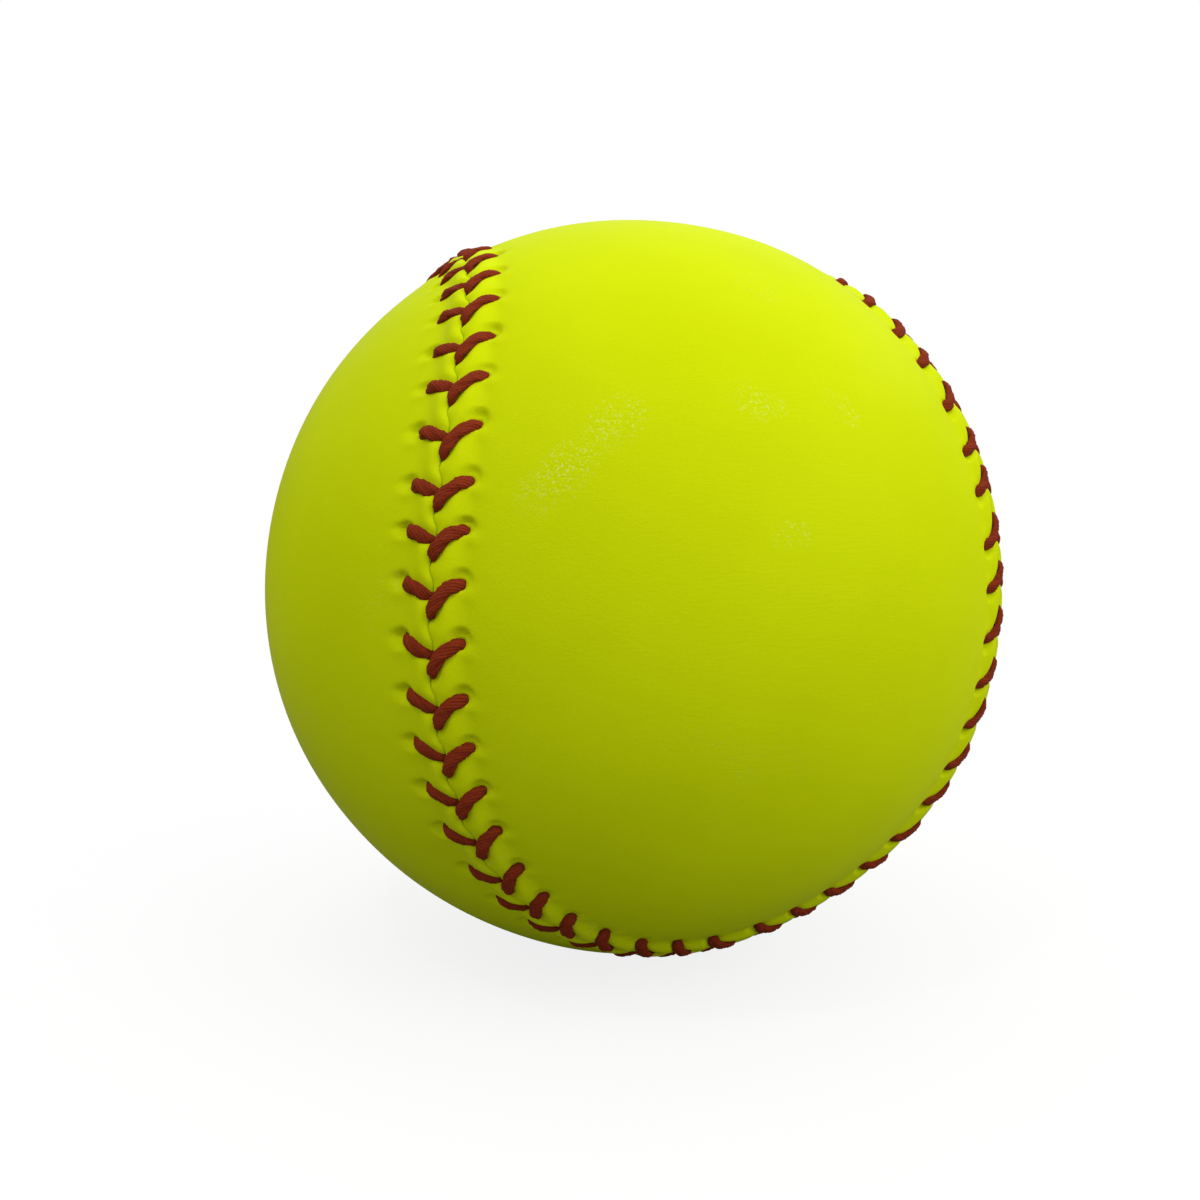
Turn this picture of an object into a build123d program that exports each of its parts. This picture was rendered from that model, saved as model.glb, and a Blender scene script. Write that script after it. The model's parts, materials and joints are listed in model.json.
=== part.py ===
# A twelve-inch softball: a moulded core, a yarn winding, two cemented figure-eight covers
# and the two waxed threads that lace the covers together with the two-needle stitch.
# Origin at the middle of the ball. +Z runs through the waist of the upper cover, whose
# lobes hang over the front (-Y) and the back (+Y). The lower cover's lobes face -X and +X.

import os
from math import cos, hypot, pi, sin, sqrt

from build123d import *

# Driving dimensions, in millimetres

# Layers of the ball
ball_circumference = 304.8
core_diameter = 84.0
cover_thickness = 1.6
cement_thickness = 0.4
bond_line = 0.05

# Seam between the covers
waist_width = 47.5
seam_rise = 0.5
welt_half_width = 6.5
welt_root_margin = 0.3
valley_half_width = 1.3
valley_depth = 0.7
edge_roll_radius = 2.6
seam_gap = 0.12

# Lacing
stitches_per_quarter = 22
hole_offset = 3.6
first_hole_lead = 1.8
lower_leg_slant = 1.5
thread_diameter = 1.3
thread_clearance = 0.1
slot_side_clearance = 0.25
leg_lift = 0.15

# Counts of points, arcs and sides that carry the curves
seam_point_count = 64
arcs_per_quarter = 6
sections_per_arc = 5
thread_sides = 6

# Shares: where a leg bends, in thread radii from its end, and where the tucked ends of a thread
# stop, along the last hidden run
bend_share = 0.85
tail_end = 0.35
tail_start = 0.65

# Sizes worked out from the driving dimensions
ball_radius = ball_circumference / (2 * pi)
core_radius = core_diameter / 2
cover_inner_radius = ball_radius - cover_thickness
cement_outer_radius = cover_inner_radius - bond_line
cement_inner_radius = cement_outer_radius - cement_thickness
winding_outer_radius = cement_inner_radius - bond_line
winding_inner_radius = core_radius + bond_line
thread_radius = thread_diameter / 2
crown_radius = ball_radius + seam_rise

# The seam: a closed curve on the ball that passes each cover's waist at half its width
waist_half = waist_width / 2
seam_swing = (ball_radius + waist_half) / 2
seam_curl = (ball_radius - waist_half) / 2
seam_height = sqrt(ball_radius**2 - waist_half**2)
seam_points = []
for index in range(seam_point_count):
    turn = 2 * pi * index / seam_point_count
    seam_points.append(
        (
            seam_swing * cos(turn) - seam_curl * cos(3 * turn),
            seam_swing * sin(turn) + seam_curl * sin(3 * turn),
            seam_height * cos(2 * turn),
        )
    )
with BuildLine() as seam_line:
    Spline(*seam_points, periodic=True)
seam = seam_line.edges()[0]
seam_quarter = seam.length / 4
stitch_count = 4 * stitches_per_quarter
stitch_pitch = seam_quarter / stitches_per_quarter


def seam_axes(along):
    """Outward, sideways (to the upper cover) and forward directions at a length of seam."""
    share = (along / seam.length) % 1.0
    outward = seam.position_at(share).normalized()
    sideways = outward.cross(seam.tangent_at(share)).normalized()
    return outward, sideways, sideways.cross(outward)


def seam_plane(along):
    """A plane square to the seam: x to the upper cover, y outward from the ball's surface."""
    outward, sideways, forward = seam_axes(along)
    return Plane(origin=outward * ball_radius, x_dir=sideways, z_dir=forward)


def seam_point(along, across, radius):
    """A point at a length along the seam, a distance across it and a radius."""
    outward, sideways, _ = seam_axes(along)
    lean = across / ball_radius
    return (outward * cos(lean) + sideways * sin(lean)) * radius


def surface_plane(along, across):
    """A plane that touches the ball beside the seam, with x along the seam."""
    outward = seam_point(along, across, 1)
    forward = seam_axes(along)[2]
    return Plane(origin=outward * ball_radius, x_dir=forward, z_dir=outward)


def fall(radius, across):
    """How far an arc or sphere has dropped at a distance from its top."""
    return radius - sqrt(radius**2 - across**2)


# The welt: the leather arches over the thread runs on both sides of the seam
welt_sag = seam_rise + fall(ball_radius, welt_half_width)
welt_arc_radius = (welt_half_width**2 + welt_sag**2) / (2 * welt_sag)
welt_root = welt_half_width + welt_root_margin
tunnel_arc_radius = welt_arc_radius - cover_thickness


def welt_radius(across):
    """Distance from the ball's middle to the welt's outer face."""
    return hypot(across, crown_radius - fall(welt_arc_radius, across))


def tunnel_radius(across):
    """Distance from the ball's middle to the leather's underside over the thread runs."""
    return hypot(across, crown_radius - cover_thickness - fall(tunnel_arc_radius, across))


# Lacing levels and places, hole to seam
bed_half_width = hole_offset + thread_diameter
under_radius = tunnel_radius(hole_offset) - thread_clearance - thread_radius
under_run_length = hypot(stitch_pitch - lower_leg_slant, hole_offset)
under_run_sag = under_run_length**2 / (8 * under_radius)
bed_floor_radius = under_radius - thread_radius - under_run_sag - thread_clearance
hole_radius = (thread_radius + thread_clearance) / cos(pi / thread_sides)
dive_spacing = (thread_diameter + thread_clearance) * under_run_length / hole_offset
upper_leg_slant = lower_leg_slant + dive_spacing
slot_length = dive_spacing + thread_diameter + 2 * thread_clearance
slot_width = thread_diameter + 2 * slot_side_clearance
valley_radius = crown_radius - valley_depth
bend = bend_share * thread_radius
cut_reach = 2 * cover_thickness


def seam_arcs(section, first_arc, last_arc):
    """Loft a strip along the seam, in arcs that meet face to face."""
    steps = sections_per_arc - 1
    spacing = seam_quarter / (arcs_per_quarter * steps)
    arcs = []
    for arc in range(first_arc, last_arc):
        places = [spacing * (arc * steps + step) for step in range(sections_per_arc)]
        arcs.append(loft(sections=[section(seam_plane(along)) for along in places], mode=Mode.PRIVATE))
    return arcs


def welt_section(plane):
    """A low arch of leather, standing on the ball and rooted in the cover."""
    root_y = seam_rise - fall(welt_arc_radius, welt_root)
    base_y = -cover_thickness / 2
    with BuildSketch(plane, mode=Mode.PRIVATE) as arch:
        with BuildLine():
            ThreePointArc((-welt_root, root_y), (0, seam_rise), (welt_root, root_y))
            Polyline((welt_root, root_y), (welt_root, base_y), (-welt_root, base_y), (-welt_root, root_y))
        make_face()
    return arch.sketch.face()


def bed_section(plane):
    """The space under the leather that the thread runs lie in, pressed into the winding."""
    roof_top = seam_rise - cover_thickness
    roof_edge = roof_top - fall(tunnel_arc_radius, bed_half_width)
    floor_top = bed_floor_radius - ball_radius
    floor_edge = floor_top - fall(bed_floor_radius, bed_half_width)
    with BuildSketch(plane, mode=Mode.PRIVATE) as bed:
        with BuildLine():
            ThreePointArc((-bed_half_width, roof_edge), (0, roof_top), (bed_half_width, roof_edge))
            Line((bed_half_width, roof_edge), (bed_half_width, floor_edge))
            ThreePointArc((bed_half_width, floor_edge), (0, floor_top), (-bed_half_width, floor_edge))
            Line((-bed_half_width, floor_edge), (-bed_half_width, roof_edge))
        make_face()
    return bed.sketch.face()


def valley_section(plane):
    """The gap between the covers: rolled edges above, butted edges below."""
    shoulder = (valley_half_width, seam_rise)
    lip = (seam_gap / 2, seam_rise - valley_depth)
    foot = (seam_gap / 2, -cut_reach)
    above = (valley_half_width, seam_rise + cover_thickness)
    with BuildSketch(plane, mode=Mode.PRIVATE) as valley:
        with BuildLine():
            Line(foot, lip)
            RadiusArc(lip, shoulder, edge_roll_radius)
            Polyline(shoulder, above, (0, above[1]), (0, foot[1]), foot)
        make_face()
        mirror(about=Plane.YZ)
    return valley.sketch.face()


# Needle holes, a row in each cover, and the slots in the seam where the threads dive
stations = [first_hole_lead + stitch_pitch * index for index in range(stitch_count)]
slot_lead = (lower_leg_slant + upper_leg_slant) / 2

# Upper cover: the figure-eight panel whose waist crosses the top of the ball. A spherical hide
# with the seam welt raised on it is hollowed under the welt, cut along the seam and punched.
poles_sideways = (0, 90, 0)
whole_seam = (0, 4 * arcs_per_quarter)
lacing_bed = seam_arcs(bed_section, *whole_seam)
with BuildPart() as upper_cover:
    Sphere(ball_radius, rotation=poles_sideways)
    add(seam_arcs(welt_section, *whole_seam))
    Sphere(cover_inner_radius, rotation=poles_sideways, mode=Mode.SUBTRACT)
    add(lacing_bed, mode=Mode.SUBTRACT)
    add(seam_arcs(valley_section, *whole_seam), mode=Mode.SUBTRACT)
    add(upper_cover.solids().sort_by(Axis.Z)[-1], mode=Mode.REPLACE)
    with BuildSketch(*[surface_plane(along, hole_offset) for along in stations]):
        RegularPolygon(radius=hole_radius, side_count=thread_sides)
    with BuildSketch(*[surface_plane(along + slot_lead, 0) for along in stations]):
        Rectangle(slot_length, slot_width)
    extrude(amount=cut_reach, both=True, mode=Mode.SUBTRACT)

# Lower cover: the same panel, turned over and a quarter turn round
with BuildPart() as lower_cover:
    with Locations(Rotation(0, 0, 90)):
        add(upper_cover.part)
    mirror(about=Plane.XY, mode=Mode.REPLACE)

# Cement: a film on the underside of each cover that stops short of the lacing
with BuildPart() as cement_film:
    Sphere(cement_outer_radius)
    Sphere(cement_inner_radius, mode=Mode.SUBTRACT)
    add(lacing_bed, mode=Mode.SUBTRACT)

with BuildPart() as upper_cement:
    add(cement_film.solids().sort_by(Axis.Z)[-1])

with BuildPart() as lower_cement:
    add(cement_film.solids().sort_by(Axis.Z)[0])

# Yarn winding: the wound layer round the core, with the bed that the lacing presses into it
with BuildPart() as yarn_winding:
    Sphere(winding_outer_radius)
    Sphere(winding_inner_radius, mode=Mode.SUBTRACT)
    add(lacing_bed, mode=Mode.SUBTRACT)

# Core: one moulded ball
with BuildPart() as core:
    Sphere(core_radius)


def slant(side):
    """How far a leg travels along the seam between its hole and its dive."""
    return upper_leg_slant if side > 0 else lower_leg_slant


def leg_point(along, side, distance, radius):
    """A point on the leg that leaves the hole at this station, at a distance from the hole."""
    share = distance / hypot(slant(side), hole_offset)
    return seam_point(along + slant(side) * share, side * hole_offset * (1 - share), radius)


def under_point(along, side, share):
    """A point on the hidden run that leads to the hole at this station, at a share of the run."""
    dive = along - stitch_pitch + slant(-side)
    return seam_point(dive + (along - dive) * share, side * hole_offset * share, under_radius)


def thread_route(first_side):
    """One thread's points: up a hole, over the leather, down the seam, under to the next hole."""
    hole_top = welt_radius(hole_offset)
    leg_rise = thread_radius + leg_lift
    route = [under_point(stations[0], first_side, tail_start)]
    for index, along in enumerate(stations):
        side = first_side * (-1) ** index
        leg = hypot(slant(side), hole_offset)
        route.append(leg_point(along, side, 0, under_radius))
        route.append(leg_point(along, side, 0, hole_top + leg_lift))
        route.append(leg_point(along, side, bend, hole_top + leg_rise))
        route.append(leg_point(along, side, leg - bend, crown_radius + leg_rise))
        route.append(leg_point(along, side, leg, valley_radius))
        route.append(leg_point(along, side, leg, under_radius))
    last_side = first_side * (-1) ** stitch_count
    route.append(under_point(stations[0] + seam.length, last_side, tail_end))
    return route


# Threads: each needle carries its own, and they change sides at every stitch
with BuildPart() as first_needle_thread:
    with BuildLine() as first_path:
        first_run = Polyline(*thread_route(1))
    with BuildSketch(Plane(origin=first_run @ 0, z_dir=first_run % 0)):
        RegularPolygon(radius=thread_radius, side_count=thread_sides)
    sweep(path=first_path.line, transition=Transition.RIGHT)

with BuildPart() as second_needle_thread:
    with BuildLine() as second_path:
        second_run = Polyline(*thread_route(-1))
    with BuildSketch(Plane(origin=second_run @ 0, z_dir=second_run % 0)):
        RegularPolygon(radius=thread_radius, side_count=thread_sides)
    sweep(path=second_path.line, transition=Transition.RIGHT)

pieces = {
    "core": core,
    "yarn_winding": yarn_winding,
    "upper_cement": upper_cement,
    "lower_cement": lower_cement,
    "upper_cover": upper_cover,
    "lower_cover": lower_cover,
    "first_needle_thread": first_needle_thread,
    "second_needle_thread": second_needle_thread,
}
os.makedirs("parts", exist_ok=True)
for name, piece in pieces.items():
    piece.part.label = name
    export_step(piece.part, f"parts/{name}.step")
print(f"seam {seam.length:.1f} mm, pitch {stitch_pitch:.2f} mm")
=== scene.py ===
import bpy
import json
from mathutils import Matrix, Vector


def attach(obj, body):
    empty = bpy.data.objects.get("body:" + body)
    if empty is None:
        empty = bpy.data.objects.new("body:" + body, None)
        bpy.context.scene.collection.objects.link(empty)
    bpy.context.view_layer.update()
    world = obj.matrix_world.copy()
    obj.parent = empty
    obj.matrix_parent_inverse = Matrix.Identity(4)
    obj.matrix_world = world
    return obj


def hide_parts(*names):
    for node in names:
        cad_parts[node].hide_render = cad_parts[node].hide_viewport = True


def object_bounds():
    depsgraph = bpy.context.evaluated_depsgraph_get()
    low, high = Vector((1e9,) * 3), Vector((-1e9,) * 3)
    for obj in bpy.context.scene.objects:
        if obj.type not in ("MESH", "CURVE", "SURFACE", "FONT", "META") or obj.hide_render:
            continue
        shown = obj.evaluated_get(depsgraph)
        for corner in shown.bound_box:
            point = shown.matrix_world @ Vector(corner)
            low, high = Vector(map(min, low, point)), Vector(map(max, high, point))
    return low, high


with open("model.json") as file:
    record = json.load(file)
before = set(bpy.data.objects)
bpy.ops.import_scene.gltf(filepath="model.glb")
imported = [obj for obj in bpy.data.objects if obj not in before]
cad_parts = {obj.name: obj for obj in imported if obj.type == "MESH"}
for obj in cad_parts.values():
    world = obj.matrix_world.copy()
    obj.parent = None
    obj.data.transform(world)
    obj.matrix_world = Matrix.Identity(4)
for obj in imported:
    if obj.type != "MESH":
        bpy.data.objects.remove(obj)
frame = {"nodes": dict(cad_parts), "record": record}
cad_box = [list(corner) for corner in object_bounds()]

import json
import math

import bmesh
import bpy
import numpy as np
from mathutils import Matrix, Vector, geometry, kdtree


# Core
# The heart of the ball is a moulded sphere of ground cork in a rubber binder.
# It is pressed in a hot die, so its skin shows cork crumbs in a darker matrix.
mm = 0.001
cork_roughness = 0.82
cork_dark = (0.16, 0.085, 0.040, 1.0)
cork_pale = (0.52, 0.34, 0.19, 1.0)
cork_colour_span = (0.15, 0.85)
crumb_size = 2.4 * mm
crumb_relief = 0.2 * mm
crumb_relief_strength = 0.6


def new_finish(name, values):
    """A material with one principled shader, whose plain values are set on its own sockets."""
    finish = bpy.data.materials.new(name)
    finish.use_nodes = True
    shader = finish.node_tree.nodes["Principled BSDF"]
    for socket, value in values.items():
        shader.inputs[socket].default_value = value
    return finish, finish.node_tree, shader


def add_node(tree, kind, inputs=None, **settings):
    """Adds a node, sets its properties, and links or fills the inputs that are named or numbered."""
    node = tree.nodes.new(kind)
    for setting, value in settings.items():
        setattr(node, setting, value)
    for socket, value in (inputs or {}).items():
        if isinstance(value, bpy.types.NodeSocket):
            tree.links.new(value, node.inputs[socket])
        else:
            node.inputs[socket].default_value = value
    return node


def piece_place(tree):
    """Places on a piece, in its object's own coordinates."""
    return add_node(tree, "ShaderNodeTexCoord").outputs["Object"]


def colour_between(tree, share, low, high, span=(0.0, 1.0)):
    """A colour that runs from low to high as share runs over the span."""
    ramp = add_node(tree, "ShaderNodeValToRGB", {"Fac": share})
    for number, colour in enumerate((low, high)):
        ramp.color_ramp.elements[number].position = span[number]
        ramp.color_ramp.elements[number].color = colour
    return ramp.outputs["Color"]


def add_relief(tree, shader, height, depth, strength):
    """Lets a height show as relief on a finish, without moving its surface."""
    bump = add_node(tree, "ShaderNodeBump", {"Height": height, "Distance": depth, "Strength": strength})
    tree.links.new(bump.outputs["Normal"], shader.inputs["Normal"])


def wear_finish(node_name, finish):
    """Gives a solid of the frame its finish."""
    solid = frame["nodes"][node_name]
    solid.data.materials.clear()
    solid.data.materials.append(finish)


cork, tree, shader = new_finish("moulded_cork", {"Roughness": cork_roughness})
crumbs = add_node(tree, "ShaderNodeTexVoronoi", {"Vector": piece_place(tree), "Scale": 1 / crumb_size})
crumb_colour = colour_between(tree, crumbs.outputs["Color"], cork_dark, cork_pale, cork_colour_span)
tree.links.new(crumb_colour, shader.inputs["Base Color"])
add_relief(tree, shader, crumbs.outputs["Distance"], crumb_relief, crumb_relief_strength)
wear_finish("core", cork)


# Yarn winding
# Many metres of twisted poly-cotton yarn are wound round the core in every direction until it is round.
# Patches of parallel turns cross each other, and each turn shows the twist of its plies, with painted shade
# in the grooves between turns.
yarn_roughness = 0.9
# The darker yarn colour is painted shade for the grooves between turns.
yarn_painted_groove_shade = (0.55, 0.50, 0.40, 1.0)
yarn_light = (0.86, 0.83, 0.74, 1.0)
yarn_colour_span = (0.05, 0.6)
yarn_ways = ((0.9, 0.3, 0.2), (-0.2, 0.8, 0.6), (0.4, -0.5, 0.8), (0.7, 0.7, -0.3))
yarn_width = 0.9 * mm
yarn_waver = 0.4
yarn_patch_size = 26 * mm
yarn_patch_detail = 0.0
yarn_patch_level = 0.52
yarn_relief = 0.35 * mm
yarn_relief_strength = 0.8
yarn_fibre_size = 0.3 * mm
yarn_fibre_stretch = 0.4
yarn_fibre_share = 0.25
streak_detail = 3.0
streak_roughness = 0.65
streak_share = 0.7
tuft_detail = 2.0
# A wave texture runs through 20 radians over each unit of its scaled length.
wave_rate = 20


def math_of(tree, operation, *values):
    """The result of one math node, in a shader or a geometry tree."""
    return add_node(tree, "ShaderNodeMath", dict(enumerate(values)), operation=operation).outputs["Value"]


def noise_of(tree, place, fineness, detail, roughness=0.5, waver=0.0, seed=None):
    """Soft noise from 0 to 1. A seed picks another slice of it."""
    inputs = {"Vector": place, "Scale": fineness, "Detail": detail}
    inputs |= {"Roughness": roughness, "Distortion": waver}
    if seed is None:
        return add_node(tree, "ShaderNodeTexNoise", inputs).outputs["Fac"]
    inputs["W"] = seed
    return add_node(tree, "ShaderNodeTexNoise", inputs, noise_dimensions="4D").outputs["Fac"]


def add_sockets(tree, direction, sockets):
    """Gives a node tree its named inputs or outputs, each with its kind."""
    for name, kind in sockets.items():
        tree.interface.new_socket(name, in_out=direction, socket_type="NodeSocket" + kind)


def build_fibre_group():
    """Shader group for twisted fibre: a height and a shade that streak along the third axis of Vector."""
    group = bpy.data.node_groups.new("twisted_fibre", "ShaderNodeTree")
    add_sockets(group, "INPUT", {"Vector": "Vector", "Fineness": "Float", "Stretch": "Float"})
    add_sockets(group, "OUTPUT", {"Height": "Float", "Shade": "Float"})
    given = group.nodes.new("NodeGroupInput").outputs
    result = group.nodes.new("NodeGroupOutput").inputs
    parts = add_node(group, "ShaderNodeSeparateXYZ", {"Vector": given["Vector"]}).outputs
    run = math_of(group, "MULTIPLY", parts["Z"], given["Stretch"])
    drawn = add_node(group, "ShaderNodeCombineXYZ", {"X": parts["X"], "Y": parts["Y"], "Z": run})
    streaks = noise_of(group, drawn.outputs["Vector"], given["Fineness"], streak_detail, streak_roughness)
    tufts = noise_of(group, given["Vector"], given["Fineness"], tuft_detail)
    height = math_of(group, "MULTIPLY_ADD", streaks, streak_share, tufts)
    group.links.new(height, result["Height"])
    group.links.new(streaks, result["Shade"])
    return group


fibre_group = build_fibre_group()
yarn, tree, shader = new_finish("wound_yarn", {"Roughness": yarn_roughness})
place = piece_place(tree)
for number, way in enumerate(yarn_ways):
    lean = Vector(way).normalized().to_track_quat("Z", "Y").to_euler()
    turned = add_node(tree, "ShaderNodeMapping", {"Vector": place, "Rotation": lean}, vector_type="TEXTURE")
    wave = {"Scale": 2 * math.pi / (wave_rate * yarn_width), "Distortion": yarn_waver}
    wave["Vector"] = turned.outputs["Vector"]
    strands = add_node(tree, "ShaderNodeTexWave", wave, bands_direction="Z").outputs["Fac"]
    if number == 0:
        turns_height = strands
        continue
    patch = noise_of(tree, place, 1 / yarn_patch_size, yarn_patch_detail, seed=float(number))
    over = math_of(tree, "GREATER_THAN", patch, yarn_patch_level)
    chosen = add_node(tree, "ShaderNodeMix", {"Factor": over, "A": turns_height, "B": strands})
    turns_height = chosen.outputs["Result"]
fibres = add_node(
    tree,
    "ShaderNodeGroup",
    {"Vector": place, "Fineness": 1 / yarn_fibre_size, "Stretch": yarn_fibre_stretch},
    node_tree=fibre_group,
).outputs
# The yarn is painted darker in the grooves between its turns, as painted shade, and keeps its own pale
# colour on their crests.
yarn_colour_with_painted_groove_shade = colour_between(tree, turns_height, yarn_painted_groove_shade, yarn_light, yarn_colour_span)
tree.links.new(yarn_colour_with_painted_groove_shade, shader.inputs["Base Color"])
yarn_height = math_of(tree, "MULTIPLY_ADD", fibres["Height"], yarn_fibre_share, turns_height)
add_relief(tree, shader, yarn_height, yarn_relief, yarn_relief_strength)
wear_finish("yarn_winding", yarn)


# Cement films
# Rubber latex cement is brushed on the winding and on the back of each cover before they are pressed on.
# It dries to a thin, cloudy, amber film with brush streaks.
cement_roughness = 0.45
cement_cloudiness = 0.15
cement_light_reach = (1 * mm, 0.8 * mm, 0.5 * mm)
cement_thin = (0.62, 0.50, 0.30, 1.0)
cement_thick = (0.85, 0.78, 0.60, 1.0)
cement_colour_span = (0.3, 0.7)
cement_streak = 5 * mm
cement_streak_detail = 4.0
cement_brush_squeeze = (1.0, 4.0, 1.0)
cement_relief = 0.1 * mm
cement_relief_strength = 0.5

cement_values = {
    "Roughness": cement_roughness,
    "Subsurface Weight": cement_cloudiness,
    "Subsurface Radius": cement_light_reach,
}
latex, tree, shader = new_finish("latex_cement", cement_values)
brushed = add_node(tree, "ShaderNodeMapping", {"Vector": piece_place(tree), "Scale": cement_brush_squeeze})
streaks = noise_of(tree, brushed.outputs["Vector"], 1 / cement_streak, cement_streak_detail)
film_colour = colour_between(tree, streaks, cement_thin, cement_thick, cement_colour_span)
tree.links.new(film_colour, shader.inputs["Base Color"])
add_relief(tree, shader, streaks, cement_relief, cement_relief_strength)
for film in ("upper_cement", "lower_cement"):
    wear_finish(film, latex)


# Covers
# Two figure-eight panels of dyed leather are stretched over the ball, each round half of it.
# They meet edge to edge, stand up in a low welt and roll into the seam.
# The stitches draw the needle holes into pockets and let the leather puff up between them.
ball_radius = frame["record"]["mounts"][0]["dims"]["r_mm"] * mm
waist_width = 47.5 * mm
leather_thickness = 1.6 * mm
welt_rise = 0.5 * mm
welt_width = 3.1 * mm
puff_width = 1.3 * mm
sag_width = 1.25 * mm

edge_roll_width = 0.8 * mm
edge_roll_depth = 0.18 * mm
edge_gap = 0.012 * mm
edge_give_width = 2.6 * mm
edge_wander = 0.24 * mm
# The waves of an edge between two stitches: how many, their share of the wander, and where they start.
edge_waves = ((1, 1.0, 0.6), (2, 0.5, 1.8))
slot_half_width = 0.13 * mm
slot_half_length = 0.7 * mm

lump_height = 0.12 * mm
lump_waves = 14
lump_length_span = (18 * mm, 60 * mm)
lump_seed = 12
flat_depth = 0.55 * mm
flat_way = (0.32, -0.51, -0.80)
flat_spread = 0.40

stitch_count = 88
first_hole_lead = 1.8 * mm
stitch_drift = 0.35 * mm
drift_waves = 6
drift_count_span = (14, 40)
drift_seed = 9

hole_half_length = 0.56 * mm
hole_half_width = 0.50 * mm
least_rim_reach = 0.2
dimple_depth = 0.56 * mm
dimple_spread = 0.35
dimple_seed = 5
dimple_radius = 1.30 * mm
dimple_wall_share = 0.42
dimple_middle_share = 0.55
dimple_tilt_share = 0.45
pleat_back = 0.55 * mm
pleat_lean = 0.17
pleat_width = 0.36 * mm
pleat_reach = 2.6 * mm
pleat_start_share = 0.25
lip_rise = 0.13 * mm
lip_ahead = 1.0 * mm
lip_out = 0.9 * mm
lip_width = 0.75 * mm
leg_press = 0.16 * mm
leg_press_width = 0.9 * mm

# Each leg runs over the leather from its hole to the seam, given as places along and across the seam.
# A leg on the upper cover sweeps round into the seam, and one on the lower cover comes in under its end.
upper_leg = np.array([(0.0, 3.2), (0.12, 2.50), (0.58, 1.70), (1.35, 0.95), (2.2, 0.40), (3.0, 0.05)]) * mm
lower_leg = np.array([(0.0, 3.7), (0.25, 2.85), (0.58, 1.92), (0.92, 1.0), (1.2, 0.1)]) * mm
upper_side = {
    "leg": upper_leg,
    "dimple_back": 1.75 * mm,
    "dimple_out": 0.10 * mm,
    "puff_rise": 0.38 * mm,
    "puff_offset": 1.4 * mm,
    "sag_depth": 0.16 * mm,
    "sag_offset": 3.7 * mm,
    "pleat_depth": 0.04 * mm,
}
lower_side = {
    "leg": lower_leg,
    "dimple_back": 1.30 * mm,
    "dimple_out": 0.40 * mm,
    "puff_rise": 0.34 * mm,
    "puff_offset": 1.1 * mm,
    "sag_depth": 0.20 * mm,
    "sag_offset": 3.2 * mm,
    "pleat_depth": 0.24 * mm,
}

seam_samples = 7200
columns_per_stitch = 20
roll_rows = 6
roll_row_power = 1.5
stitch_row_step = 0.3 * mm
stitch_rows_end = 4.7 * mm
fade_rows = 3
fade_row_power = 1.3
strip_width = 7.2 * mm
panel_point_step = 1.25 * mm
fill_inside_outline = 1
fill_merge_distance = 1e-9

swing = (ball_radius + waist_width / 2) / 2
curl = (ball_radius - waist_width / 2) / 2
seam_height = math.sqrt(ball_radius**2 - (waist_width / 2) ** 2)


def seam_curve(turn):
    """The seam on the ball, as the crossing of a slow and a fast circle with a swing up and down."""
    return np.stack(
        (
            swing * np.cos(turn) - curl * np.cos(3 * turn),
            swing * np.sin(turn) + curl * np.sin(3 * turn),
            seam_height * np.cos(2 * turn),
        ),
        axis=-1,
    )


def unit(vectors):
    """Vectors of the same directions and a length of 1."""
    return vectors / np.linalg.norm(vectors, axis=-1, keepdims=True)


seam_turns = np.linspace(0, 2 * math.pi, seam_samples + 1)
seam_steps = np.linalg.norm(np.diff(seam_curve(seam_turns), axis=0), axis=1)
seam_reach = np.concatenate(((0.0,), np.cumsum(seam_steps)))
seam_length = seam_reach[-1]
stitch_pitch = seam_length / stitch_count


def seam_axes(along):
    """The outward direction and the direction to the upper cover, at lengths along the seam."""
    turn = np.interp(np.mod(along, seam_length), seam_reach, seam_turns)
    nudge = 2 * math.pi / seam_samples
    outward = unit(seam_curve(turn))
    sideways = unit(np.cross(outward, seam_curve(turn + nudge) - seam_curve(turn - nudge)))
    return outward, sideways


drift_random = np.random.default_rng(drift_seed)
drift_counts = drift_random.integers(*drift_count_span, drift_waves)
drift_starts = drift_random.uniform(0, 2 * math.pi, drift_waves)


def seam_direction(along, across):
    """Directions from the ball's middle, at lengths along the hand-spaced seam and across it."""
    phase = np.asarray(along)[..., None] * (2 * math.pi * drift_counts / seam_length) + drift_starts
    drift = stitch_drift * np.sin(phase).sum(axis=-1) / math.sqrt(drift_waves)
    outward, sideways = seam_axes(along + drift)
    angle = np.asarray(across)[..., None] / ball_radius
    return outward * np.cos(angle) + sideways * np.sin(angle)


def smooth_share(value):
    """A share from 0 to 1 that leaves both ends gently."""
    share = np.clip(value, 0.0, 1.0)
    return share * share * (3 - 2 * share)


def near(distance, width):
    """A soft bell that is 1 at no distance."""
    return np.exp(-((distance / width) ** 2))


def route_distance(along, across, route):
    """The distance from places along and across the seam to a leg's route."""
    nearest = np.full(np.shape(along), np.inf)
    for start, end in zip(route[:-1], route[1:]):
        step = end - start
        share = ((along - start[0]) * step[0] + (across - start[1]) * step[1]) / (step @ step)
        share = np.clip(share, 0.0, 1.0)
        gap = np.hypot(along - start[0] - share * step[0], across - start[1] - share * step[1])
        nearest = np.minimum(nearest, gap)
    return nearest


def from_stitch(along):
    """Lengths along the seam, counted from the nearest stitch's holes."""
    half_pitch = stitch_pitch / 2
    return np.mod(along - first_hole_lead + half_pitch, stitch_pitch) - half_pitch


dimple_random = np.random.default_rng(dimple_seed)
dimple_shares = 1 + dimple_spread * dimple_random.uniform(-1, 1, stitch_count)
lump_random = np.random.default_rng(lump_seed)
lump_ways = unit(lump_random.normal(size=(lump_waves, 3)))
lump_lengths = lump_random.uniform(*lump_length_span, lump_waves)
lump_starts = lump_random.uniform(0, 2 * math.pi, lump_waves)


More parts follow.
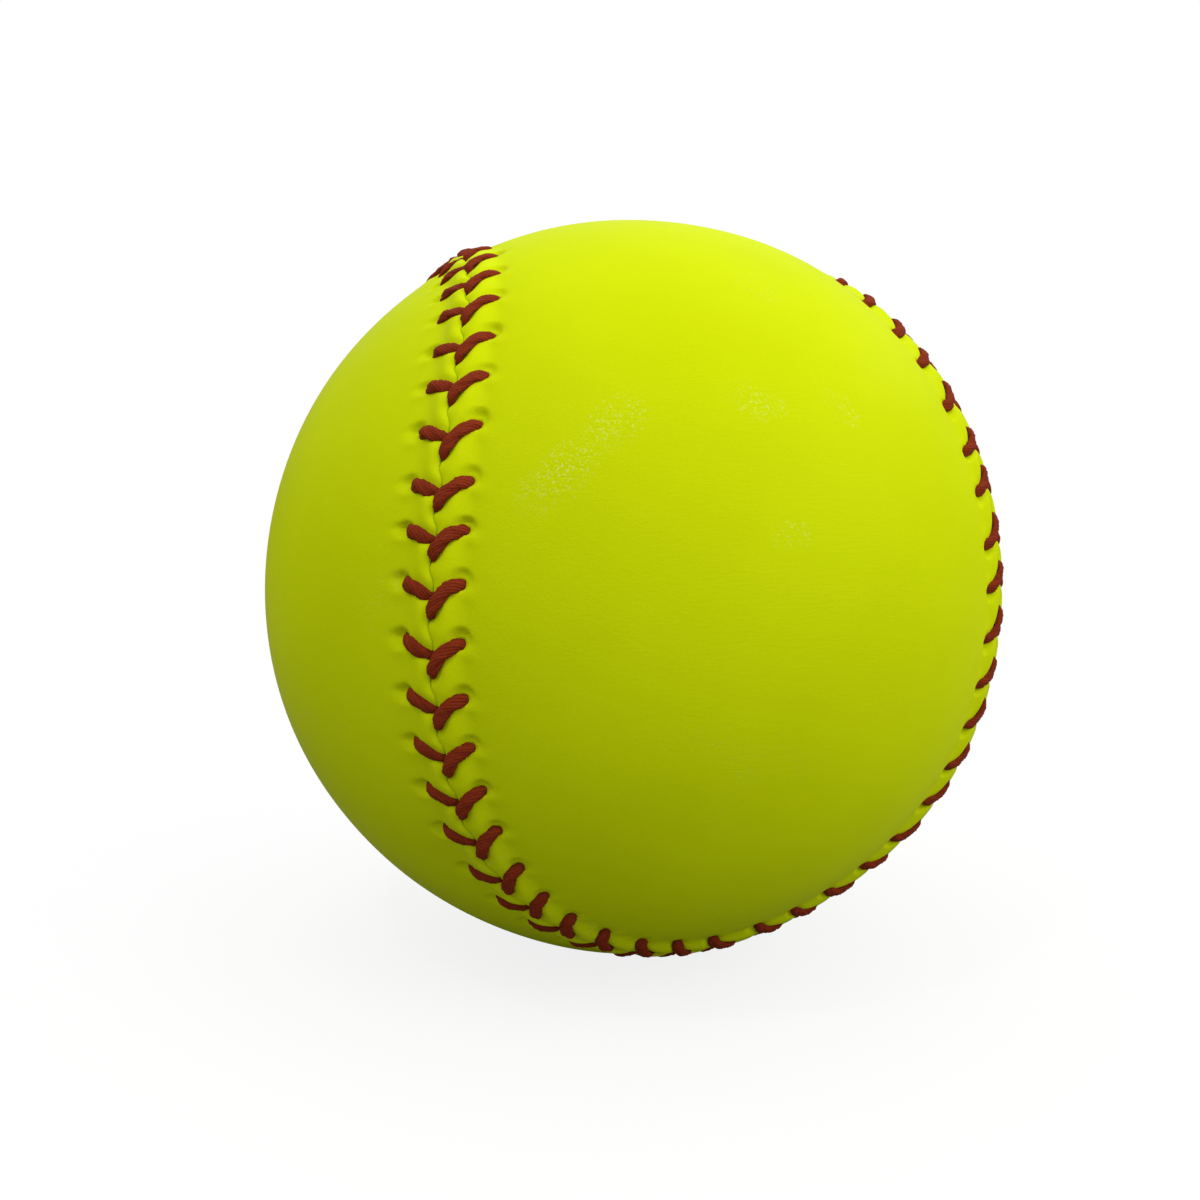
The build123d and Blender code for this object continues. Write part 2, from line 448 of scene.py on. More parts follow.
def leather_lumps(directions):
    """The slow unevenness of hide pulled over a wound ball, with one flatter place."""
    phase = directions @ lump_ways.T * ball_radius * (2 * math.pi / lump_lengths) + lump_starts
    from_flat = np.arccos(np.clip(directions @ unit(np.array(flat_way)), -1.0, 1.0))
    lumps = lump_height * np.sin(phase).sum(axis=-1) / math.sqrt(lump_waves)
    return lumps - flat_depth * near(from_flat, flat_spread)


def welt_height(across):
    """The welt along the seam, which stands up where the two edges are drawn together."""
    return welt_rise * near(across, welt_width)


def dimple_share(ahead, across, form):
    """How far a needle hole's pocket is drawn in: a tilted dish, deepest under its wall behind the hole."""
    behind = (-ahead - form["dimple_back"] + dimple_radius) / dimple_radius
    out = (across - form["leg"][0, 1] - form["dimple_out"]) / dimple_radius
    wall = smooth_share((1 - np.hypot(behind, out)) / dimple_wall_share)
    return wall * (dimple_middle_share + dimple_tilt_share * np.clip(behind, -1.0, 1.0))


def pleat_share(ahead, across, form):
    """How deep the small fold is that a hole's pull draws into the leather beyond it."""
    beyond = (across - form["leg"][0, 1]) / pleat_reach
    fold = near(ahead + pleat_back - pleat_lean * pleat_reach * beyond, pleat_width)
    return fold * smooth_share(beyond / pleat_start_share) * (1 - smooth_share(beyond))


def leather_height(along, across, form):
    """How far the leather's face stands above the round ball, at places along and across the seam."""
    height = welt_height(across)
    roll = np.clip(1 - across / edge_roll_width, 0.0, 1.0)
    height = height - edge_roll_depth * (1 - np.sqrt(np.clip(1 - roll**2, 0.0, 1.0)))
    press = np.zeros(np.shape(along))
    number = np.round((along - first_hole_lead) / stitch_pitch).astype(int)
    for turn in (-1, 0, 1):
        ahead = from_stitch(along) + turn * stitch_pitch
        pull = dimple_shares[(number - turn) % stitch_count]
        leg_distance = route_distance(ahead, across, form["leg"])
        press = np.maximum(press, near(leg_distance, leg_press_width))
        height = height - pull * dimple_depth * dimple_share(ahead, across, form)
        height = height - pull * form["pleat_depth"] * pleat_share(ahead, across, form)
        lip = np.hypot(ahead - lip_ahead, across - form["leg"][0, 1] - lip_out)
        height = height + lip_rise * near(lip, lip_width)
    puff = form["puff_rise"] * near(across - form["puff_offset"], puff_width)
    sag = form["sag_depth"] * near(across - form["sag_offset"], sag_width)
    return height + (puff - sag) * (1 - press) - leg_press * press


def edge_place(along):
    """How far a leather edge wanders about the seam, and how far it gives way to the diving threads."""
    ahead = from_stitch(along)
    phase = 2 * math.pi * ahead / stitch_pitch
    wander = edge_wander * sum(share * np.sin(count * phase + start) for count, share, start in edge_waves)
    give = np.zeros(np.shape(along))
    for turn in (-1, 0, 1):
        dive = ahead + turn * stitch_pitch
        for route in (upper_leg, lower_leg):
            give = np.maximum(give, near(dive - route[-1][0], slot_half_length))
    return wander, edge_gap + slot_half_width * give


column_count = stitch_count * columns_per_stitch
columns = first_hole_lead + np.arange(column_count) * stitch_pitch / columns_per_stitch
roll_shares = np.linspace(0, 1, roll_rows, endpoint=False) ** roll_row_power
fade_shares = np.linspace(0, 1, fade_rows + 1)[1:] ** fade_row_power
rows = np.concatenate(
    (
        edge_roll_width * roll_shares,
        np.arange(edge_roll_width, stitch_rows_end, stitch_row_step),
        stitch_rows_end + (strip_width - stitch_rows_end) * fade_shares,
    )
)
seam_tree = kdtree.KDTree(seam_samples)
for number, point in enumerate(seam_curve(seam_turns[:-1])):
    seam_tree.insert(point, number)
seam_tree.balance()
_, seam_sideways = seam_axes(seam_reach[:-1])


def panel_depth(direction, side):
    """How far a direction lies inside one panel, from the seam, below zero on the other panel."""
    point = Vector(direction).normalized() * ball_radius
    nearest, index, gap = seam_tree.find(point)
    depth = 2 * ball_radius * math.asin(gap / (2 * ball_radius))
    return math.copysign(depth, side * (point - nearest).dot(Vector(seam_sideways[index])))


def panel_directions(side):
    """Evenly spread directions on one panel, further from the seam than the stitched strip reaches."""
    point_area = panel_point_step**2 * math.sqrt(3) / 2
    count = int(4 * math.pi * ball_radius**2 / point_area)
    golden_turn = math.pi * (3 - math.sqrt(5))
    number = np.arange(count) + 0.5
    rise = 1 - 2 * number / count
    turn = number * golden_turn
    flat = np.sqrt(1 - rise**2)
    spread = np.stack((flat * np.cos(turn), flat * np.sin(turn), rise), axis=-1)
    least = strip_width + panel_point_step / 2
    return np.array([direction for direction in spread if panel_depth(direction, side) > least])


def add_object(name, data):
    """A new object in the scene, at the origin."""
    added = bpy.data.objects.new(name, data)
    bpy.context.scene.collection.objects.link(added)
    return added


def build_cover(name, side, form):
    """One closed leather panel: its face, its back and the walls of its edge and of its needle holes."""
    # The stitched strip is a grid along the seam. Needle holes are cut from it, and their rims drawn round.
    hole_offset = form["leg"][0, 1]
    along, across = np.meshgrid(columns, rows, indexing="ij")
    ahead = from_stitch(along)
    cell_ahead = from_stitch(along + stitch_pitch / columns_per_stitch / 2)[:, :-1]
    cell_across = (across[:, :-1] + across[:, 1:]) / 2
    cut = np.hypot(cell_ahead / hole_half_length, (cell_across - hole_offset) / hole_half_width) < 1
    touched = np.zeros(across.shape, int)
    for column_shift in (0, 1):
        for row_shift in (0, 1):
            block = np.roll(cut, column_shift, axis=0)
            touched[:, row_shift : row_shift + cut.shape[1]] += block
    rim = (touched > 0) & (touched < 4)
    reach = np.hypot(ahead / hole_half_length, (across - hole_offset) / hole_half_width)
    pull = np.where(rim, 1 / np.maximum(reach, least_rim_reach), 1.0)
    along = along + np.where(rim, ahead * (pull - 1), 0.0)
    across = np.where(rim, hole_offset + (across - hole_offset) * pull, across)

    wander, give = edge_place(along)
    hold = 1 - smooth_share(across / edge_give_width)
    shifted = side * across + (wander + side * give) * hold
    strip_directions = seam_direction(along, shifted)
    strip_height = leather_height(along, across, form) + leather_lumps(strip_directions)
    strip_back = welt_height(across) - leather_thickness

    inside = panel_directions(side)
    directions = np.concatenate((strip_directions.reshape(-1, 3), inside))
    face = ball_radius + np.concatenate((strip_height.ravel(), leather_lumps(inside)))
    back = ball_radius + np.concatenate((strip_back.ravel(), np.full(len(inside), -leather_thickness)))

    row_count = len(rows)
    strip_point_count = column_count * row_count
    strip_id = np.arange(strip_point_count).reshape(column_count, row_count)
    faces = []
    for column in range(column_count):
        here = strip_id[column]
        after = strip_id[(column + 1) % column_count]
        for row in range(row_count - 1):
            if not cut[column, row]:
                faces.append((here[row], after[row], after[row + 1], here[row + 1]))

    # Triangles fill the panel inside the strip, on a flat map of the half ball that it covers.
    fill_id = np.concatenate((strip_id[:, -1], np.arange(strip_point_count, len(directions))))
    spots = directions[fill_id]
    flat_spots = [Vector(spot) for spot in spots[:, :2] / (1 + side * spots[:, 2:3])]
    outline = list(range(column_count))
    _, _, triangles, sources, _, _ = geometry.delaunay_2d_cdt(
        flat_spots, [], [outline], fill_inside_outline, fill_merge_distance, True
    )
    for triangle in triangles:
        corners = tuple(fill_id[sources[corner][0]] for corner in triangle)
        bridges = max(corners) < strip_point_count
        if bridges and panel_depth(directions[list(corners)].sum(axis=0), side) < strip_width:
            continue
        faces.append(corners)

    # Face and back share their outline, and an edge that only one face uses gets a wall between them.
    mesh = bmesh.new()
    face_verts = [mesh.verts.new(spot) for spot in directions * face[:, None]]
    back_verts = [mesh.verts.new(spot) for spot in directions * back[:, None]]
    edge_uses = {}
    for corners in faces:
        mesh.faces.new([face_verts[corner] for corner in corners]).smooth = True
        mesh.faces.new([back_verts[corner] for corner in reversed(corners)]).smooth = True
        for first, second in zip(corners, corners[1:] + corners[:1]):
            key = (min(first, second), max(first, second))
            edge_uses[key] = edge_uses.get(key, 0) + 1
    for (first, second), uses in edge_uses.items():
        if uses == 1:
            wall = (face_verts[first], face_verts[second], back_verts[second], back_verts[first])
            mesh.faces.new(wall).smooth = True
    bmesh.ops.delete(mesh, geom=[vert for vert in mesh.verts if not vert.link_faces], context="VERTS")
    bmesh.ops.recalc_face_normals(mesh, faces=mesh.faces)
    data = bpy.data.meshes.new(name)
    mesh.to_mesh(data)
    mesh.free()
    return add_object(name, data)


leather_shine = 0.005
leather_deep = (0.626, 0.746, 0.0020, 1.0)
leather_bright = (0.648, 0.772, 0.0025, 1.0)
leather_colour_span = (0.35, 0.65)
leather_patch_size = 14 * mm
leather_patch_detail = 3.0
polish_roughness = (0.32, 0.40)
polish_span = (0.3, 0.7)
grain_size = 0.16 * mm
grain_detail = 2.0
grain_roughness = 0.6
brush_size = 0.30 * mm
brush_detail = 3.0
brush_waver = 0.3
brush_share = 0.9
brush_squeeze = (0.10, 1.0, 1.0)
leather_relief = 0.03 * mm
leather_relief_strength = 0.7

# Fine creases gather in clusters, most of all at these places in millimetres, each with its pull.
crease_places = (
    ((-23.5, -40.0, 14.2), 0.42),
    ((-19.5, -40.7, 17.7), 0.36),
    ((-14.9, -41.0, 21.2), 0.40),
    ((-6.2, -42.2, 23.1), 0.19),
    ((-2.8, -42.6, 22.7), 0.14),
    ((0.8, -43.0, 22.3), 0.14),
    ((8.9, -42.4, 21.9), 0.42),
    ((0.1, -47.5, 10.0), 0.30),
)
crease_spread = 6 * mm
crease_size = 1.1 * mm
crease_width_share = 0.12
crease_cluster_size = 16 * mm
crease_cluster_detail = 2.0
crease_seed = 3.0
crease_pull_span = (0.62, 0.90)
glint_size = 0.30 * mm
glint_detail = 2.0
glint_waver = 0.6
glint_span = (0.58, 0.66)
glint_roughness = 0.32
glint_index = 2.4


def number_between(tree, value, low, high, span=(0.0, 1.0)):
    """A number that runs from low to high, and no further, as value runs over the span."""
    inputs = {"Value": value, "From Min": span[0], "From Max": span[1], "To Min": low, "To Max": high}
    return add_node(tree, "ShaderNodeMapRange", inputs).outputs["Result"]


leather_values = {
    "Specular IOR Level": leather_shine,
    "Coat Roughness": glint_roughness,
    "Coat IOR": glint_index,
}
leather, tree, shader = new_finish("optic_yellow_leather", leather_values)
place = piece_place(tree)
patches = noise_of(tree, place, 1 / leather_patch_size, leather_patch_detail)
leather_colour = colour_between(tree, patches, leather_deep, leather_bright, leather_colour_span)
tree.links.new(leather_colour, shader.inputs["Base Color"])
polish = number_between(tree, patches, *polish_roughness, polish_span)
tree.links.new(polish, shader.inputs["Roughness"])

clusters = noise_of(tree, place, 1 / crease_cluster_size, crease_cluster_detail, seed=crease_seed)
crease_pull = clusters
for spot, pull in crease_places:
    gap = add_node(tree, "ShaderNodeVectorMath", {0: place, 1: Vector(spot) * mm}, operation="DISTANCE")
    closeness = number_between(tree, gap.outputs["Value"], pull, 0.0, (0.0, crease_spread))
    crease_pull = math_of(tree, "ADD", crease_pull, closeness)
crease_share = number_between(tree, crease_pull, 0.0, 1.0, crease_pull_span)

drawn = add_node(tree, "ShaderNodeMapping", {"Vector": place, "Scale": brush_squeeze}).outputs["Vector"]
crinkle = add_node(
    tree,
    "ShaderNodeTexVoronoi",
    {"Vector": drawn, "Scale": 1 / crease_size, "Randomness": 1.0},
    feature="DISTANCE_TO_EDGE",
)
crease_line = number_between(tree, crinkle.outputs["Distance"], -1.0, 0.0, (0.0, crease_width_share))
creases = math_of(tree, "MULTIPLY", crease_line, crease_share)
grain = noise_of(tree, place, 1 / grain_size, grain_detail, grain_roughness)
brushed = noise_of(tree, drawn, 1 / brush_size, brush_detail, waver=brush_waver)
surface = math_of(tree, "MULTIPLY_ADD", brushed, brush_share, grain)
relief = math_of(tree, "ADD", surface, creases)
add_relief(tree, shader, relief, leather_relief, leather_relief_strength)

glint_grain = noise_of(tree, place, 1 / glint_size, glint_detail, waver=glint_waver)
glint_dots = number_between(tree, glint_grain, 0.0, 1.0, glint_span)
glints = math_of(tree, "MULTIPLY", glint_dots, crease_share)
tree.links.new(glints, shader.inputs["Coat Weight"])

covers = (
    ("upper_cover_leather", "upper_cover", "upper_cement", 1, upper_side),
    ("lower_cover_leather", "lower_cover", "lower_cement", -1, lower_side),
)
for name, node_name, film, side, form in covers:
    cover = build_cover(name, side, form)
    cover.data.materials.append(leather)
    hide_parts(node_name)
    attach(cover, "root")


# Lacing threads
# Two needles carry two waxed cotton threads through the holes, and at every stitch the threads change sides.
# Each thread is three plies laid together. It comes up a hole, over to the seam, and down between the edges.
thread_radius = 0.82 * mm
upper_hole_neck = 0.76 * mm
lower_hole_neck = 0.88 * mm
tip_neck = 0.58 * mm
full_width_shares = (0.35, 0.75)
leg_stray = 0.12 * mm
leg_seed = 31
leg_seat = 0.27 * mm
upper_leg_ride = 0.24 * mm
lower_leg_duck = 0.20 * mm
ride_start_share = 0.3
ride_run_share = 0.5
hole_sink = 0.30 * mm

under_neck = 0.45 * mm
under_depth = 1.9 * mm
under_radius = ball_radius - under_depth
under_shares = (0.3, 0.6)
tail_share = 0.35
first_tail_shares = (1 - tail_share, 0.85)
last_tail_shares = (0.15, tail_share)
dive_depth = 0.9 * mm
dive_lead = 0.25 * mm

leg_random = np.random.default_rng(leg_seed)
leg_forms = {
    1: (upper_side, upper_leg_ride, upper_hole_neck),
    -1: (lower_side, -lower_leg_duck, lower_hole_neck),
}


def leg_points(along, side):
    """The control points of one leg, from its hole to the seam: place, and the thread's half width there."""
    form, ride, hole_neck = leg_forms[side]
    route = form["leg"]
    shares = np.linspace(0, 1, len(route))
    stray = leg_stray * leg_random.uniform(-1, 1, route.shape) * np.sin(math.pi * shares)[:, None]
    places = along + route[:, 0] + stray[:, 0]
    offsets = route[:, 1] + stray[:, 1]
    heights = leather_height(places, offsets, form)
    lift = leg_seat + ride * smooth_share((shares - ride_start_share) / ride_run_share)
    lift[0] = -hole_sink
    directions = seam_direction(places, side * offsets)
    spots = directions * (ball_radius + heights + leather_lumps(directions) + lift)[:, None]
    necks = (hole_neck, thread_radius, thread_radius, tip_neck)
    widths = np.interp(shares, (0, *full_width_shares, 1), necks)
    return list(spots), list(widths)


def under_points(start, start_across, end, end_across, shares):
    """Points of a run under the leather, between two places along and across the seam."""
    shares = np.asarray(shares)
    places = start + shares * (end - start)
    offsets = start_across + shares * (end_across - start_across)
    return list(seam_direction(places, offsets) * under_radius)


def thread_route(first_side):
    """The whole way of one thread round the ball, as control points and half widths."""
    spots = []
    widths = []
    for stitch in range(stitch_count):
        side = first_side if stitch % 2 == 0 else -first_side
        station = first_hole_lead + stitch * stitch_pitch
        route = leg_forms[side][0]["leg"]
        hole = side * route[0, 1]
        next_hole = -side * leg_forms[-side][0]["leg"][0, 1]
        dive = station + route[-1][0]
        if stitch == 0:
            spots += under_points(dive - stitch_pitch, 0.0, station, hole, first_tail_shares)
            widths += [under_neck] * 2
        spots.append(seam_direction(np.array(station), np.array(hole)) * under_radius)
        widths.append(under_neck)
        leg_spots, leg_widths = leg_points(station, side)
        spots += leg_spots
        widths += leg_widths
        valley = seam_direction(np.array(dive + dive_lead), np.array(0.0))
        spots.append(valley * (ball_radius - dive_depth))
        spots.append(valley * under_radius)
        widths += [under_neck] * 2
        shares = under_shares if stitch < stitch_count - 1 else last_tail_shares
        spots += under_points(dive, 0.0, station + stitch_pitch, next_hole, shares)
        widths += [under_neck] * 2
    return spots, widths


ply_count = 3
lay_length = 7.5 * mm
groove_depth = 0.20
thread_flatness = 0.52
thread_step = 0.27 * mm
thread_sides = 18
fuzz_height = 0.17 * mm
fuzz_size = 0.27 * mm
fuzz_detail = 2.0


def build_laid_thread():
    """Geometry tree that lays three plies along a curve: a grooved round that twists, with a ragged skin."""
    tree = bpy.data.node_groups.new("laid_thread", "GeometryNodeTree")
    sizes = ("Lay Length", "Groove Depth", "Flatness", "Fuzz Height", "Fuzz Size")
    add_sockets(tree, "INPUT", {"Geometry": "Geometry", "Step": "Float", "Sides": "Int"})
    add_sockets(tree, "INPUT", dict.fromkeys(sizes, "Float"))
    add_sockets(tree, "INPUT", {"Material": "Material"})
    add_sockets(tree, "OUTPUT", {"Geometry": "Geometry"})
    given = tree.nodes.new("NodeGroupInput").outputs
    result = tree.nodes.new("NodeGroupOutput").inputs

    def store(shape, name, value, kind="FLOAT"):
        """Keeps a value on the points of a shape, under a name."""
        inputs = {"Geometry": shape, "Name": name, "Value": value}
        kept = add_node(tree, "GeometryNodeStoreNamedAttribute", inputs, data_type=kind, domain="POINT")
        return kept.outputs["Geometry"]

    def scaled(vector, share):
        """A vector times a number."""
        product = add_node(tree, "ShaderNodeVectorMath", {0: vector, "Scale": share}, operation="SCALE")
        return product.outputs["Vector"]

    # The line of the thread is cut into even steps, and its twist, run and level are kept on it.
    inputs = {"Curve": given["Geometry"], "Length": given["Step"]}
    rings = add_node(tree, "GeometryNodeResampleCurve", inputs, mode="LENGTH").outputs["Curve"]
    run = tree.nodes.new("GeometryNodeSplineParameter").outputs["Length"]
    twist = math_of(tree, "DIVIDE", math_of(tree, "MULTIPLY", run, 2 * math.pi), given["Lay Length"])
    tilted = add_node(tree, "GeometryNodeSetCurveTilt", {"Curve": rings, "Tilt": twist}).outputs["Curve"]
    spot = tree.nodes.new("GeometryNodeInputPosition").outputs["Position"]
    level = add_node(tree, "ShaderNodeVectorMath", {0: spot}, operation="LENGTH").outputs["Value"]
    line = store(store(tilted, "thread_run", run), "thread_level", level)

    # The profile is a round with a groove between each two plies.
    inputs = {"Radius": 1.0, "Resolution": given["Sides"]}
    round_profile = add_node(tree, "GeometryNodeCurvePrimitiveCircle", inputs).outputs["Curve"]
    share = tree.nodes.new("GeometryNodeSplineParameter").outputs["Factor"]
    ply_turn = math_of(tree, "MULTIPLY", share, ply_count * math.pi)
    crest = math_of(tree, "ABSOLUTE", math_of(tree, "COSINE", ply_turn))
    groove = math_of(tree, "MULTIPLY", math_of(tree, "SUBTRACT", 1.0, crest), given["Groove Depth"])
    drawn_in = scaled(spot, math_of(tree, "SUBTRACT", 1.0, groove))
    grooved = add_node(tree, "GeometryNodeSetPosition", {"Geometry": round_profile, "Position": drawn_in})
    crested = store(grooved.outputs["Geometry"], "ply_crest", crest)
    profile = store(crested, "thread_round", spot, "FLOAT_VECTOR")

    # The body is swept at the line's own half widths, pressed flat towards the ball, and roughened.
    radius = tree.nodes.new("GeometryNodeInputRadius").outputs["Radius"]
    inputs = {"Curve": line, "Profile Curve": profile, "Scale": radius, "Fill Caps": True}
    body = add_node(tree, "GeometryNodeCurveToMesh", inputs).outputs["Mesh"]
    inputs = {"Name": "thread_level"}
    laid_level = add_node(tree, "GeometryNodeInputNamedAttribute", inputs, data_type="FLOAT")
    above = math_of(tree, "SUBTRACT", level, laid_level.outputs["Attribute"])
    sunk = math_of(tree, "MULTIPLY", above, math_of(tree, "SUBTRACT", given["Flatness"], 1.0))
    upward = add_node(tree, "ShaderNodeVectorMath", {0: spot}, operation="NORMALIZE").outputs["Vector"]
    pressed = add_node(tree, "GeometryNodeSetPosition", {"Geometry": body, "Offset": scaled(upward, sunk)})
    ragged = noise_of(tree, spot, math_of(tree, "DIVIDE", 1.0, given["Fuzz Size"]), fuzz_detail)
    both_ways = math_of(tree, "MULTIPLY_ADD", ragged, 2.0, -1.0)
    outward = tree.nodes.new("GeometryNodeInputNormal").outputs["Normal"]
    push = scaled(outward, math_of(tree, "MULTIPLY", both_ways, given["Fuzz Height"]))
    inputs = {"Geometry": pressed.outputs["Geometry"], "Offset": push}
    fuzzy = add_node(tree, "GeometryNodeSetPosition", inputs)
    smooth = add_node(tree, "GeometryNodeSetShadeSmooth", {"Geometry": fuzzy.outputs["Geometry"]})
    real = add_node(tree, "GeometryNodeRealizeInstances", {"Geometry": smooth.outputs["Geometry"]})
    inputs = {"Geometry": real.outputs["Geometry"], "Material": given["Material"]}
    dressed = add_node(tree, "GeometryNodeSetMaterial", inputs)
    tree.links.new(dressed.outputs["Geometry"], result["Geometry"])
    return tree


thread_roughness = 0.6
thread_shine = 0.05
# The darker thread colour is painted shade for the grooves between plies and strands, and partly the
# thread's own darker fibre streaks.
thread_streak_and_painted_groove_shade = (0.066, 0.0080, 0.0030, 1.0)
thread_red = (0.268, 0.033, 0.009, 1.0)
thread_colour_span = (0.9, 1.0)
fibres_per_radius = 5.5
fibre_stretch = 0.25
fibre_shade_share = 1.6
strand_count = 12
strand_height_share = 0.5
thread_relief = 0.15 * mm
thread_relief_strength = 0.9

thread_values = {"Roughness": thread_roughness, "Specular IOR Level": thread_shine}
waxed_thread, tree, shader = new_finish("waxed_red_thread", thread_values)
run = add_node(tree, "ShaderNodeAttribute", attribute_name="thread_run").outputs["Fac"]
around = add_node(tree, "ShaderNodeAttribute", attribute_name="thread_round").outputs["Vector"]
crest = add_node(tree, "ShaderNodeAttribute", attribute_name="ply_crest").outputs["Fac"]
sides = add_node(tree, "ShaderNodeSeparateXYZ", {"Vector": around}).outputs
run_share = math_of(tree, "DIVIDE", run, thread_radius)
laid_out = add_node(tree, "ShaderNodeCombineXYZ", {"X": sides["X"], "Y": sides["Y"], "Z": run_share})
fibres = add_node(
    tree,
    "ShaderNodeGroup",
    {"Vector": laid_out.outputs["Vector"], "Fineness": fibres_per_radius, "Stretch": fibre_stretch},
    node_tree=fibre_group,
).outputs
turn = math_of(tree, "ARCTAN2", sides["Y"], sides["X"])
strand_turn = math_of(tree, "MULTIPLY_ADD", turn, strand_count / 2, fibres["Height"])
strands = math_of(tree, "ABSOLUTE", math_of(tree, "SINE", strand_turn))
# The colour darkens where the strands and ply crests dip into grooves, which is painted shade, and along
# darker fibre streaks, which are the thread's own tone.
lay = math_of(tree, "ADD", strands, crest)
depth = math_of(tree, "MULTIPLY_ADD", fibres["Shade"], fibre_shade_share, lay)
thread_colour_with_painted_groove_shade = colour_between(tree, depth, thread_streak_and_painted_groove_shade, thread_red, thread_colour_span)
tree.links.new(thread_colour_with_painted_groove_shade, shader.inputs["Base Color"])
thread_height = math_of(tree, "MULTIPLY_ADD", strands, strand_height_share, fibres["Height"])
add_relief(tree, shader, thread_height, thread_relief, thread_relief_strength)

laid_thread = build_laid_thread()
thread_inputs = {
    "Step": thread_step,
    "Sides": thread_sides,
    "Lay Length": lay_length,
    "Groove Depth": groove_depth,
    "Flatness": thread_flatness,
    "Fuzz Height": fuzz_height,
    "Fuzz Size": fuzz_size,
    "Material": waxed_thread,
}
line_order = 3
line_resolution = 6
threads = (
    ("first_thread_laid", "first_needle_thread", 1),
    ("second_thread_laid", "second_needle_thread", -1),
)
for name, node_name, first_side in threads:
    spots, widths = thread_route(first_side)
    line = bpy.data.curves.new(name + "_line", "CURVE")
    line.dimensions = "3D"
    spline = line.splines.new("NURBS")
    spline.points.add(len(spots) - 1)
    for point, spot, width in zip(spline.points, spots, widths):
        point.co = (*spot, 1.0)
        point.radius = width
    spline.order_u = line_order
    spline.use_endpoint_u = True
    spline.resolution_u = line_resolution
    way = add_object(name + "_way", line)
    laying = way.modifiers.new("lay", "NODES")
    laying.node_group = laid_thread
    for item in laid_thread.interface.items_tree:
        if item.in_out == "INPUT" and item.name in thread_inputs:
            laying[item.identifier] = thread_inputs[item.name]
    ready = way.evaluated_get(bpy.context.evaluated_depsgraph_get())
    data = bpy.data.meshes.new_from_object(ready)
    way.modifiers.remove(laying)
    bpy.data.objects.remove(way)
    thread = add_object(name, data)
    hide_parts(node_name)
    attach(thread, "root")


# Camera
# It stands a little above the ball's middle, close enough for the ball to swell towards the lens.
# It is turned a little past the ball, which sits off the middle of the picture.
camera_turn = math.radians(20.6)
camera_tilt = math.radians(5.0)
camera_distance = 3.42 * ball_radius
photo_width = 1200
ball_in_photo = (629.3, 587.5)
lens_length = 36.0
film_width = 36.0

toward_camera = Vector(
    (
        -math.sin(camera_turn) * math.cos(camera_tilt),
        -math.cos(camera_turn) * math.cos(camera_tilt),
        math.sin(camera_tilt),
    )
)
camera_right = Vector((0, 0, 1)).cross(toward_camera).normalized()
camera_up = toward_camera.cross(camera_right)


def stand_facing(thing, place, aim):
    """Stands a camera or a lamp at a place, looking at its aim."""
    turned = (place - aim).to_track_quat("Z", "Y").to_matrix().to_4x4()
    thing.matrix_world = Matrix.Translation(place) @ turned


camera_data = bpy.data.cameras.new("camera")
camera_data.lens = lens_length
camera_data.sensor_width = film_width
camera = add_object("camera", camera_data)
pixel_size = camera_distance * film_width / lens_length / photo_width
aim_right = (photo_width / 2 - ball_in_photo[0]) * pixel_size
aim_up = (ball_in_photo[1] - photo_width / 2) * pixel_size
stand_facing(camera, toward_camera * camera_distance, camera_right * aim_right + camera_up * aim_up)
bpy.context.scene.camera = camera
bpy.context.scene.view_settings.view_transform = "Standard"


# Floor
# A sheet of pale paper lies under the ball and runs out of the picture on all sides.
# The camera sees it white, with a faint shadow close to the ball, and it throws a dim light back up.
floor_size = 4.0
floor_gap = 0.1 * mm
floor_corners = ((-1, -1), (1, -1), (1, 1), (-1, 1))
paper_white = (0.95, 0.95, 0.95, 1.0)
paper_bounce = (0.26, 0.26, 0.26, 1.0)
pure_white = (1.0, 1.0, 1.0, 1.0)
shadow_reach = (0.04, 0.16)
seen_white_shares = (0.84, 1.0)

